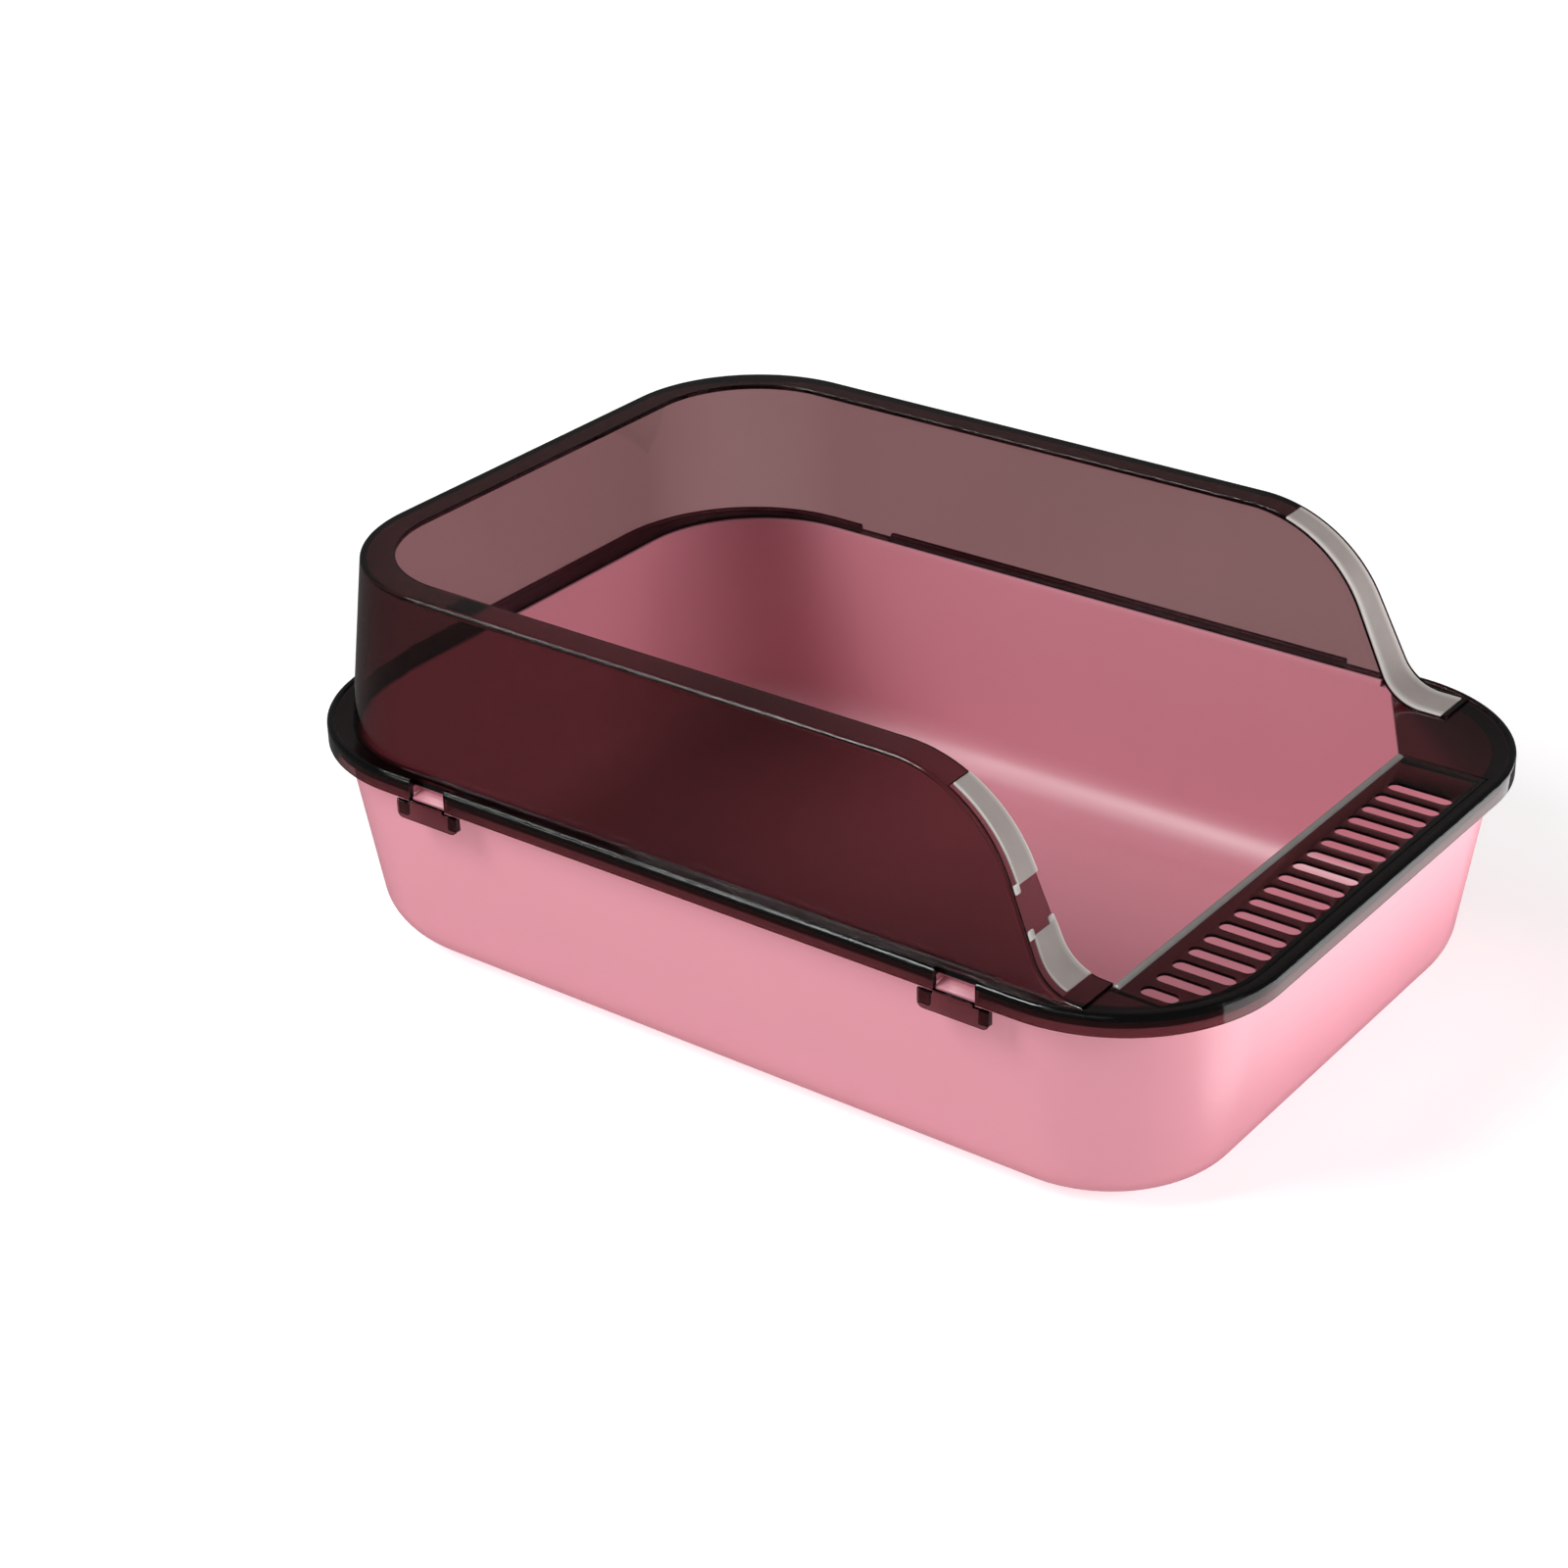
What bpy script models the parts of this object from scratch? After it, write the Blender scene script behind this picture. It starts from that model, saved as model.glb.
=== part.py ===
# A cat litter box: a drafted tray, and a smoked surround that stands on its rim.
# The surround is open on top and dips at the front to a slotted step.
# X is the width, the entry faces -Y, and Z = 0 is the surface that the tray stands on.
from math import atan2, cos, pi, radians, sin, sqrt, tan

import bmesh
import bpy

# Overall sizes, in metres
LENGTH = 0.500
WIDTH = 0.3504
HEIGHT = 0.1957
LEDGE_TOP = 0.1127
GAP = 0.0003

# Flange and skirt of the surround
FLANGE_RADIUS = 0.0776
REAR_EXTRA = 0.003
PLATE = 0.003
SKIRT_DROP = 0.0095
SKIRT_WALL = 0.0027
BEAD_RISE = 0.001
BEAD_ROUND = 0.002
BEAD_WIDTH = 0.003
PLATE_BOTTOM = LEDGE_TOP - PLATE
SKIRT_BOTTOM = LEDGE_TOP - SKIRT_DROP

# Leaning wall of the surround: half width, back edge and corner radius at its foot and its top
WALL = 0.0024
FOOT_HALF, FOOT_BACK, FOOT_RADIUS = 0.1670, 0.2350, 0.0700
TOP_HALF, TOP_BACK, TOP_RADIUS = 0.1591, 0.2288, 0.0700
WALL_ROOT = PLATE_BOTTOM + 0.0003

# Lip turned inward along the wall's edge; its inner edge is upright on the long sides
LIP = 0.0161
LIP_THICK = 0.0024
LIP_ROUND = 0.0013
LIP_SOFT = 0.0006

# Sweep of the wall's edge down to the step, which starts nearer the front on the left side
DIP_START = {-1: -0.0990, 1: -0.0925}
DIP_ANGLE = radians(65)
DIP_CREST_RADIUS = 0.068
DIP_FOOT_RADIUS = 0.022
DIP_FOOT_RISE = 0.0014
DIP_RUNOUT = {-1: 0.0040, 1: 0.013}
DIP_RUNOUT_FALL = 0.0002

# Opening in the plate, and the gusset at its right front corner
OPEN_UNDERCUT = 0.0008
OPEN_HALF = FOOT_HALF - WALL + OPEN_UNDERCUT
OPEN_BACK = FOOT_BACK - WALL + OPEN_UNDERCUT
OPEN_RADIUS = FOOT_RADIUS - WALL + OPEN_UNDERCUT
OPEN_FRONT = -0.199
GUSSET_X, GUSSET_Y = 0.100, -0.160

# Slotted step panel
STEP_LEFT, STEP_RIGHT = -0.147, 0.100
STEP_RIM = 0.007
STEP_THICK = 0.0012
STEP_SHELF = 0.003
SLOTS = 18
SLOT_FIRST = -0.1388
SLOT_PITCH = 0.01235
SLOT_WIDTH = 0.0068
SLOT_INNER, SLOT_OUTER = -0.2092, -0.2400
RIDGE_WIDTH, RIDGE_HEIGHT = 0.0035, 0.0018

# Tray
RIM_TOP = PLATE_BOTTOM - GAP
TRAY_HALF = 0.1668
TRAY_HALF_LENGTH = LENGTH / 2 - (WIDTH / 2 - TRAY_HALF)
TRAY_RADIUS = FLANGE_RADIUS - (WIDTH / 2 - TRAY_HALF)
TRAY_WALL = 0.0026
TRAY_FLOOR = 0.003
TRAY_DRAFT = radians(7.5)
TRAY_FILLET = 0.0295
RIM_THICK = 0.0032
UPSTAND_TOP = LEDGE_TOP - GAP
UPSTAND_WALL = 0.002
UPSTAND_FRONT = -0.157

# Snap clips: two on each long side
CLIP_Y = 0.143
LUG_WIDTH = 0.020
LUG_IN, LUG_OUT = 0.1674, 0.1738
LUG_BOTTOM, LUG_LOW, LUG_HIGH = 0.1020, 0.1050, 0.1069
NOTCH_IN = 0.1707
CLIP_WIDTH = 0.035
CLIP_THICK = 0.002
CLIP_IN = LUG_OUT + 2 * GAP
CLIP_RISE = 0.0016
CLIP_TOP = SKIRT_BOTTOM - GAP
CLIP_BOTTOM = 0.094
CLIP_CORNER = 0.003
CATCH_REACH = 0.0019
CATCH_HEIGHT = 0.0058

# Edge guards, set flush into a seat along the lip of the dip, from one y to another
GUARD_THICK = 0.0009
GUARD_OUTER = {-1: 0.0048, 1: 0.0024}
GUARD_PROUD = 0.0001
GUARD_ROUND = 0.0003
GUARD_EAR = 0.003
SEAT_INSET = 0.0019
SEAT_DEPTH = GUARD_THICK + GAP - GUARD_PROUD
SEAT_SLOPE = 0.0001
SEAT_SPAN = {-1: (-0.1290, -0.1880), 1: (-0.1125, -0.1980)}
OUTER_EAR = SEAT_INSET + 0.0004
INNER_EAR = LIP - GUARD_EAR - 0.0002
GUARDS = {
    # side, y of the upper and lower ends, ears as (at the upper end, inset)
    "guard_left_upper": (-1, (SEAT_SPAN[-1][0], -0.1620), [(False, OUTER_EAR)]),
    "guard_left_lower": (-1, (-0.1710, SEAT_SPAN[-1][1]), [(True, OUTER_EAR), (True, INNER_EAR)]),
    "guard_right": (1, SEAT_SPAN[1], []),
}

CORNER_STEPS = 12


def clear_scene():
    for item in list(bpy.data.objects):
        bpy.data.objects.remove(item, do_unlink=True)


def make_material(name, colour, roughness, metallic=0.0):
    material = bpy.data.materials.new(name)
    material.use_nodes = True
    shader = material.node_tree.nodes["Principled BSDF"]
    shader.inputs["Base Color"].default_value = (*colour, 1.0)
    shader.inputs["Roughness"].default_value = roughness
    shader.inputs["Metallic"].default_value = metallic
    return material


def mesh_object(name, points, faces, material=None):
    mesh = bpy.data.meshes.new(name)
    mesh.from_pydata(points, [], faces)
    work = bmesh.new()
    work.from_mesh(mesh)
    bmesh.ops.recalc_face_normals(work, faces=work.faces)
    work.to_mesh(mesh)
    work.free()
    item = bpy.data.objects.new(name, mesh)
    bpy.context.scene.collection.objects.link(item)
    if material:
        mesh.materials.append(material)
        mesh.shade_smooth()
        mesh.set_sharp_from_angle(angle=radians(35))
    return item


def loft(name, rings, material=None, closed=False):
    """Skin a list of equal rings; the ends are capped unless the list closes on itself."""
    count = len(rings[0])
    points = [point for ring in rings for point in ring]
    faces = []
    spans = len(rings) if closed else len(rings) - 1
    for row in range(spans):
        low = row * count
        high = (row + 1) % len(rings) * count
        for column in range(count):
            beside = (column + 1) % count
            faces.append((low + column, low + beside, high + beside, high + column))
    if not closed:
        last = (len(rings) - 1) * count
        faces.append(tuple(reversed(range(count))))
        faces.append(tuple(range(last, last + count)))
    return mesh_object(name, points, faces, material)


def cut_with(item, tool, operation="DIFFERENCE"):
    tool.hide_render = True
    tool.display_type = "WIRE"
    modifier = item.modifiers.new(tool.name, "BOOLEAN")
    modifier.operation = operation
    modifier.solver = "EXACT"
    modifier.object = tool


def box(name, low, high, material=None):
    rings = [
        [(low[0], low[1], z), (high[0], low[1], z), (high[0], high[1], z), (low[0], high[1], z)]
        for z in (low[2], high[2])
    ]
    return loft(name, rings, material)


def arc(centre, radius, start, end, steps):
    """Points on a circle from one angle to another, ends included."""
    angles = [start + (end - start) * step / steps for step in range(steps + 1)]
    return [(centre[0] + radius * cos(a), centre[1] + radius * sin(a)) for a in angles]


def rounded_plan(half_x, front, back, front_radius, back_radius):
    """A rectangle from y = -front to y = back, rounded more at the back."""
    outline = []
    for turn, (side_x, side_y) in enumerate([(1, 1), (-1, 1), (-1, -1), (1, -1)]):
        radius = back_radius if side_y > 0 else front_radius
        end = back if side_y > 0 else front
        centre = (side_x * (half_x - radius), side_y * (end - radius))
        start = turn * pi / 2
        outline += arc(centre, radius, start, start + pi / 2, CORNER_STEPS)
    return outline


def flange_plan(inset):
    radius = FLANGE_RADIUS - inset
    reach = LENGTH / 2 - inset
    return rounded_plan(WIDTH / 2 - inset, reach, reach, radius, radius + REAR_EXTRA)


def at_height(outline, z):
    return [(x, y, z) for x, y in outline]


# The tray


def tray_plan(inset):
    """Plan of the tray's wall, whose corners tighten less than its sides draw in."""
    radius = TRAY_RADIUS - 0.6 * inset
    reach = TRAY_HALF_LENGTH - inset
    return rounded_plan(TRAY_HALF - inset, reach, reach, radius, radius)


def upstand_plan(inset):
    """Plan of the raised inner edge, just inside the foot of the surround's wall."""
    half_x = FOOT_HALF - WALL - GAP - inset
    back = FOOT_BACK - WALL - GAP - inset
    front = TRAY_HALF_LENGTH - TRAY_WALL - inset + UPSTAND_WALL
    radius = FOOT_RADIUS - WALL - GAP - inset
    return rounded_plan(half_x, front, back, radius - REAR_EXTRA, radius)


def fillet_section(radius, floor):
    """Inset and height around the turn from the floor into the drafted wall."""
    lean = tan(TRAY_DRAFT)
    centre = RIM_TOP * lean + TRAY_FILLET / cos(TRAY_DRAFT) - TRAY_FILLET * lean
    spots = []
    for step in range(8):
        angle = (pi / 2 - TRAY_DRAFT) * step / 7 - pi / 2
        spots.append((centre - radius * cos(angle), floor + radius * (1 + sin(angle))))
    return spots


def make_tray(material):
    lean = tan(TRAY_DRAFT)
    under = RIM_TOP - RIM_THICK
    outer = fillet_section(TRAY_FILLET, 0.0) + [(RIM_THICK * lean, under)]
    rings = [at_height(tray_plan(inset), z) for inset, z in outer]
    soft = 0.0005
    skirt_inside = SKIRT_WALL + GAP
    rim = [
        (skirt_inside + soft, under),
        (skirt_inside, under + soft),
        (skirt_inside, RIM_TOP - soft),
        (skirt_inside + soft, RIM_TOP),
    ]
    rings += [at_height(flange_plan(inset), z) for inset, z in rim]
    upstand = [
        (0.0, RIM_TOP),
        (0.0, UPSTAND_TOP - soft),
        (soft, UPSTAND_TOP),
        (UPSTAND_WALL - soft, UPSTAND_TOP),
        (UPSTAND_WALL, UPSTAND_TOP - soft),
        (UPSTAND_WALL + soft, RIM_TOP - soft),
    ]
    rings += [at_height(upstand_plan(inset), z) for inset, z in upstand]
    inner = reversed(fillet_section(TRAY_FILLET - TRAY_FLOOR, TRAY_FLOOR))
    rings += [at_height(tray_plan(inset), z) for inset, z in inner]
    tray = loft("tray", rings, material)
    trim_low = (-WIDTH, -LENGTH, RIM_TOP)
    trim_high = (WIDTH, UPSTAND_FRONT, HEIGHT)
    cut_with(tray, box("front_trim_tool", trim_low, trim_high))
    for side in (-1, 1):
        for end in (-1, 1):
            middle = end * CLIP_Y
            reach = LUG_WIDTH / 2 + GAP
            near, far = sorted((side * LUG_IN, side * WIDTH))
            low = (near, middle - reach, LUG_BOTTOM - 0.001)
            high = (far, middle + reach, LEDGE_TOP)
            cut_with(tray, box(f"rim_gap_tool_{side}_{end}", low, high))
            cut_with(tray, lug(side, middle), "UNION")
    return tray


def lug(side, middle):
    """A catch with a sloping top, which stands out from the tray's wall."""
    root = LUG_IN - 0.0025
    outline = [
        (root, LUG_BOTTOM),
        (LUG_OUT, LUG_BOTTOM),
        (LUG_OUT, LUG_LOW),
        (LUG_IN, LUG_HIGH),
        (root, LUG_HIGH),
    ]
    ends = [middle - LUG_WIDTH / 2, middle + LUG_WIDTH / 2]
    rings = [[(side * x, y, z) for x, z in outline] for y in ends]
    return loft(f"lug_tool_{side}_{middle:.3f}", rings)


# The surround


def wall_share(z):
    return (z - LEDGE_TOP) / (HEIGHT - LEDGE_TOP)


def wall_half(z):
    return FOOT_HALF + (TOP_HALF - FOOT_HALF) * wall_share(z)


def wall_back(z):
    return FOOT_BACK + (TOP_BACK - FOOT_BACK) * wall_share(z)


def wall_radius(z):
    return FOOT_RADIUS + (TOP_RADIUS - FOOT_RADIUS) * wall_share(z)


def dip_stations(side):
    """The edge's y, height and downward slope on one side, from the step up to the level top."""
    drop = HEIGHT - LEDGE_TOP - DIP_FOOT_RISE
    bends = (DIP_CREST_RADIUS + DIP_FOOT_RADIUS) * (1 - cos(DIP_ANGLE))
    straight = (drop - bends) / sin(DIP_ANGLE)
    stations = []
    for step in range(13):
        slope = DIP_ANGLE * step / 12
        y = DIP_START[side] - DIP_CREST_RADIUS * sin(slope)
        z = HEIGHT - DIP_CREST_RADIUS * (1 - cos(slope))
        stations.append((y, z, slope))
    y, z, slope = stations[-1]
    y -= straight * cos(DIP_ANGLE)
    z -= straight * sin(DIP_ANGLE)
    for step in range(8):
        slope = DIP_ANGLE * (1 - step / 7)
        foot_y = y - DIP_FOOT_RADIUS * (sin(DIP_ANGLE) - sin(slope))
        foot_z = z - DIP_FOOT_RADIUS * (cos(slope) - cos(DIP_ANGLE))
        stations.append((foot_y, foot_z, slope))
    y, z, slope = stations[-1]
    stations.append((y - DIP_RUNOUT[side], z - DIP_RUNOUT_FALL, 0.0))
    return list(reversed(stations))


def span_stations(side, span, grow=0.0):
    """Stations from one y to another, the lower and the upper end worked out on the edge."""
    top, bottom = span[0] + grow, span[1] - grow
    stations = dip_stations(side)
    ends = []
    for end in (bottom, top):
        for low, high in zip(stations, stations[1:]):
            if low[0] <= end < high[0]:
                share = (end - low[0]) / (high[0] - low[0])
                ends.append(tuple(a + (b - a) * share for a, b in zip(low, high)))
    inside = [station for station in stations if bottom < station[0] < top]
    return [ends[0]] + inside + [ends[1]]


def side_point(side, y, edge_z, slope, inset, depth):
    """A point of the cross-section at one station of a long side."""
    z = edge_z - depth * cos(slope)
    widening = max(inset - WALL, 0.0) / (LIP - WALL) * (wall_half(z) - TOP_HALF)
    return (side * (wall_half(z) - inset - widening), y + depth * sin(slope), z)


def corner_point(side, angle, inset, depth):
    """A point of the cross-section at one angle of a back corner."""
    z = HEIGHT - depth
    radius = wall_radius(z)
    centre_x = wall_half(z) - radius
    x = centre_x + (radius - inset) * cos(angle)
    y = wall_back(z) - radius + (radius - inset) * sin(angle)
    return (side * x, y, z)


def edge_section(seat):
    """Inset and depth below the edge of the turned lip, from the outer face to the inner face."""
    outer = [(LIP_ROUND * (1 - cos(a)), LIP_ROUND * (1 - sin(a))) for a in (0, pi / 6, pi / 3, pi / 2)]
    step = [(SEAT_INSET - SEAT_SLOPE, 0.0), (SEAT_INSET, seat)]
    inner = [(LIP - LIP_SOFT, seat), (LIP, seat + LIP_SOFT), (LIP, LIP_THICK)]
    root = [(WALL + 0.0012, LIP_THICK), (WALL, LIP_THICK + 0.0012)]
    return outer + step + inner + root


def seat_stations(side):
    """Stations of the dip with the depth of the guard's seat at each, stepping in at its ends."""
    inside = span_stations(side, SEAT_SPAN[side], GAP)
    ends = span_stations(side, SEAT_SPAN[side], 2 * GAP)
    stations = dip_stations(side)
    below = [(station, 0.0) for station in stations if station[0] < ends[0][0]]
    above = [(station, 0.0) for station in stations if station[0] > ends[-1][0]]
    middle = [(station, SEAT_DEPTH) for station in inside]
    return below + [(ends[0], 0.0)] + middle + [(ends[-1], 0.0)] + above


def foot_point(point):
    """The point below on the leaning wall, down at the wall's root inside the plate."""
    x, y, z = point
    shift = wall_half(WALL_ROOT) - wall_half(z)
    return (x + (shift if x > 0 else -shift), y, WALL_ROOT)


def side_rings(side):
    """Cross-sections along one long side, from the step to the back."""
    level = [((y, HEIGHT, 0.0), 0.0) for y in (-0.03, 0.05, 0.11)]
    rings = []
    for station, seat in seat_stations(side) + level:
        ring = [side_point(side, *station, *spot) for spot in edge_section(seat)]
        rings.append([foot_point(ring[0])] + ring + [foot_point(ring[-1])])
    return rings


def wall_rings():
    section = edge_section(0.0)
    corner = [pi / 2 * step / CORNER_STEPS for step in range(CORNER_STEPS + 1)]
    rings = side_rings(-1)
    rings += [corner_ring(-1, angle, section) for angle in corner]
    rings += [corner_ring(1, angle, section) for angle in reversed(corner)]
    return rings + side_rings(1)[::-1]


def corner_ring(side, angle, section):
    drop = HEIGHT - WALL_ROOT
    first = corner_point(side, angle, 0.0, drop)
    last = corner_point(side, angle, WALL, drop)
    return [first] + [corner_point(side, angle, *spot) for spot in section] + [last]


def plate_rings():
    """The flange's outer faces: a straight skirt, a rounded bead and the level top inside it."""
    bead_top = LEDGE_TOP + BEAD_RISE
    spots = [(0.0, SKIRT_BOTTOM)]
    for step in range(5):
        angle = pi / 2 * step / 4
        spots.append((BEAD_ROUND * (1 - cos(angle)), bead_top - BEAD_ROUND * (1 - sin(angle))))
    spots += [(BEAD_WIDTH, bead_top), (BEAD_WIDTH + BEAD_RISE, LEDGE_TOP)]
    return [at_height(flange_plan(inset), z) for inset, z in spots]


def opening_outline():
    """Plan of the hole in the plate: round at the back, square at one front corner."""
    centre_y = OPEN_BACK - OPEN_RADIUS
    centre_x = OPEN_HALF - OPEN_RADIUS
    right = arc((centre_x, centre_y), OPEN_RADIUS, 0, pi / 2, CORNER_STEPS)
    left = arc((-centre_x, centre_y), OPEN_RADIUS, pi / 2, pi, CORNER_STEPS)
    front = [(-OPEN_HALF, OPEN_FRONT), (GUSSET_X, OPEN_FRONT), (OPEN_HALF, GUSSET_Y)]
    return right + left + front


def step_outline(grow, inner_edge):
    """Plan of the step panel, whose left corner follows the flange's own corner."""
    radius = FLANGE_RADIUS - STEP_RIM + grow
    centre = (-(WIDTH / 2 - FLANGE_RADIUS), -(LENGTH / 2 - FLANGE_RADIUS))
    left = STEP_LEFT - grow
    reach = centre[0] - left
    end = atan2(-sqrt(radius**2 - reach**2), -reach) + 2 * pi
    corner = arc(centre, radius, 1.5 * pi, end, 6)
    right = STEP_RIGHT + grow
    return [(left, inner_edge), (right, inner_edge), (right, centre[1] - radius)] + corner


def make_hood(material):
    hood = loft("hood", plate_rings(), material)
    pocket = flange_plan(SKIRT_WALL)
    below = SKIRT_BOTTOM - 0.01
    above = LEDGE_TOP + 0.01
    cut_with(hood, loft("pocket_tool", [at_height(pocket, z) for z in (below, PLATE_BOTTOM)]))
    opening = opening_outline()
    cut_with(hood, loft("opening_tool", [at_height(opening, z) for z in (below, above)]))
    past_edge = OPEN_FRONT + 0.006
    recess = step_outline(GAP, past_edge)
    shelf = LEDGE_TOP - STEP_THICK - GAP
    cut_with(hood, loft("recess_tool", [at_height(recess, z) for z in (shelf, above)]))
    hole = step_outline(-STEP_SHELF, past_edge)
    cut_with(hood, loft("hole_tool", [at_height(hole, z) for z in (below, above)]))
    cut_with(hood, loft("wall_tool", wall_rings()), "UNION")
    for side in (-1, 1):
        for end in (-1, 1):
            near, far = sorted((side * NOTCH_IN, side * (WIDTH / 2 + 0.005)))
            reach = LUG_WIDTH / 2 + GAP
            low = (near, end * CLIP_Y - reach, below)
            high = (far, end * CLIP_Y + reach, LEDGE_TOP + 0.003)
            cut_with(hood, box(f"notch_tool_{side}_{end}", low, high))
    return hood


# The step panel


def slot_prism(x, inner, outer):
    """A closed upright prism with round ends, for one slot."""
    radius = SLOT_WIDTH / 2
    outline = arc((x, inner - radius), radius, 0, pi, 6)
    outline += arc((x, outer + radius), radius, pi, 2 * pi, 6)
    return outline


def slot_outer_end(x):
    """Where a slot stops: at the common line, or short of the rounded corner."""
    centre_x = -(WIDTH / 2 - FLANGE_RADIUS)
    centre_y = -(LENGTH / 2 - FLANGE_RADIUS)
    if x > centre_x:
        return SLOT_OUTER
    radius = -(SLOT_OUTER - centre_y)
    return centre_y - sqrt(radius**2 - (centre_x - x) ** 2)


def make_step_panel(material):
    soft = 0.0003
    face = step_outline(0.0, OPEN_FRONT)
    top = step_outline(-soft, OPEN_FRONT - soft)
    under = LEDGE_TOP - STEP_THICK
    rings = [
        at_height(face, under),
        at_height(face, LEDGE_TOP - soft),
        at_height(top, LEDGE_TOP),
    ]
    panel = loft("step_panel", rings, material)
    ridge = []
    for step in range(7):
        angle = pi * step / 6
        y = OPEN_FRONT - soft / 2 - RIDGE_WIDTH * (1 - cos(angle)) / 2
        ridge.append((y, RIDGE_HEIGHT * sin(angle)))
    low = LEDGE_TOP - 0.0005
    outline = [(OPEN_FRONT - soft / 2, low)] + [(y, LEDGE_TOP + z) for y, z in ridge[1:-1]]
    outline += [(OPEN_FRONT - soft / 2 - RIDGE_WIDTH, low)]
    ends = [STEP_LEFT + 0.002, STEP_RIGHT - 0.002]
    cut_with(panel, loft("ridge_tool", [[(x, y, z) for y, z in outline] for x in ends]), "UNION")
    points = []
    faces = []
    for index in range(SLOTS):
        x = SLOT_FIRST + SLOT_PITCH * index
        outline = slot_prism(x, SLOT_INNER, slot_outer_end(x))
        count = len(outline)
        base = len(points)
        points += at_height(outline, PLATE_BOTTOM) + at_height(outline, LEDGE_TOP + 0.002)
        faces.append(tuple(reversed(range(base, base + count))))
        faces.append(tuple(range(base + count, base + 2 * count)))
        for spot in range(count):
            beside = (spot + 1) % count
            faces.append((base + spot, base + beside, base + count + beside, base + count + spot))
    cut_with(panel, mesh_object("slot_tool", points, faces))
    return panel


# Clips and guards


def make_clip(name, side, end, material):
    """A tongue whose origin is on its hinge, at the outer top edge."""
    half = CLIP_WIDTH / 2
    middle = LUG_WIDTH / 2
    tall = CLIP_TOP - CLIP_BOTTOM
    outline = [(-half, 0.0)]
    outline += arc((-half + CLIP_CORNER, CLIP_CORNER - tall), CLIP_CORNER, pi, 1.5 * pi, 4)
    outline += arc((half - CLIP_CORNER, CLIP_CORNER - tall), CLIP_CORNER, 1.5 * pi, 2 * pi, 4)
    outline += [(half, 0.0), (middle, 0.0), (middle, CLIP_RISE), (-middle, CLIP_RISE), (-middle, 0.0)]
    rings = [[(-side * depth, y, z) for y, z in outline] for depth in (0.0, CLIP_THICK)]
    clip = loft(name, rings, material)
    clip.location = (side * (CLIP_IN + CLIP_THICK), end * CLIP_Y, CLIP_TOP)
    for way in (-1, 1):
        near, far = sorted((-side * (CLIP_THICK - 0.0005), -side * (CLIP_THICK + CATCH_REACH)))
        catch_y = way * (half - 0.003)
        low = (near, catch_y - 0.0025, 0.0015 - tall)
        high = (far, catch_y + 0.0025, 0.0015 - tall + CATCH_HEIGHT)
        catch = box(f"{name}_catch_tool_{way}", low, high)
        catch.location = clip.location
        cut_with(clip, catch, "UNION")
    return clip


def guard_rings(side, span):
    """A flat strip along the lip, lying on the seat with a small gap."""
    low, top = SEAT_DEPTH - GAP, -GUARD_PROUD
    start = GUARD_OUTER[side]
    section = [
        (start, low),
        (LIP, low),
        (LIP, top + GUARD_ROUND),
        (LIP - GUARD_ROUND, top),
        (start + GUARD_ROUND, top),
        (start, top + GUARD_ROUND),
    ]
    stations = span_stations(side, span)
    return [[side_point(side, *station, *spot) for spot in section] for station in stations]


def ear_rings(side, span, at_top, start):
    """A small tab that stands past one end of a strip."""
    stations = span_stations(side, span)
    y, z, slope = stations[-1] if at_top else stations[0]
    along = 1 if at_top else -1
    low, top = SEAT_DEPTH - GAP - 0.0002, 0.0
    rings = []
    for reach in (-0.001, GUARD_EAR):
        spot_y = y + along * reach * cos(slope)
        spot_z = z + along * reach * sin(slope)
        corners = [(start, low), (start + GUARD_EAR, low), (start + GUARD_EAR, top), (start, top)]
        rings.append([side_point(side, spot_y, spot_z, slope, *spot) for spot in corners])
    return rings


def make_guard(name, material):
    """A strip set flush into the lip, with small ears past the ends that are named."""
    side, span, ears = GUARDS[name]
    guard = loft(name, guard_rings(side, span), material)
    for number, (at_top, start) in enumerate(ears):
        ear = ear_rings(side, span, at_top, start)
        cut_with(guard, loft(f"{name}_ear_tool_{number}", ear), "UNION")
    return guard


def build():
    clear_scene()
    pink = make_material("pink_plastic", (0.73, 0.30, 0.36), 0.45)
    smoke = make_material("smoked_plastic", (0.10, 0.03, 0.04), 0.15)
    step = make_material("step_plastic", (0.09, 0.02, 0.03), 0.2)
    clip = make_material("clip_plastic", (0.12, 0.03, 0.05), 0.25)
    frost = make_material("frosted_strip", (0.55, 0.53, 0.51), 0.5)
    make_tray(pink)
    make_hood(smoke)
    make_step_panel(step)
    for side, side_name in ((-1, "left"), (1, "right")):
        for end, end_name in ((-1, "front"), (1, "rear")):
            make_clip(f"clip_{side_name}_{end_name}", side, end, clip)
    for name in GUARDS:
        make_guard(name, frost)


build()
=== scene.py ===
# A cat litter box: a drafted tray in pink plastic, and a smoked surround that stands on its rim.
# X is the width, the entry faces -Y, and the floor is Z = 0. Everything is in metres.
import math

import bmesh
import bpy
import numpy as np
from mathutils import Matrix, Vector


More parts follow.
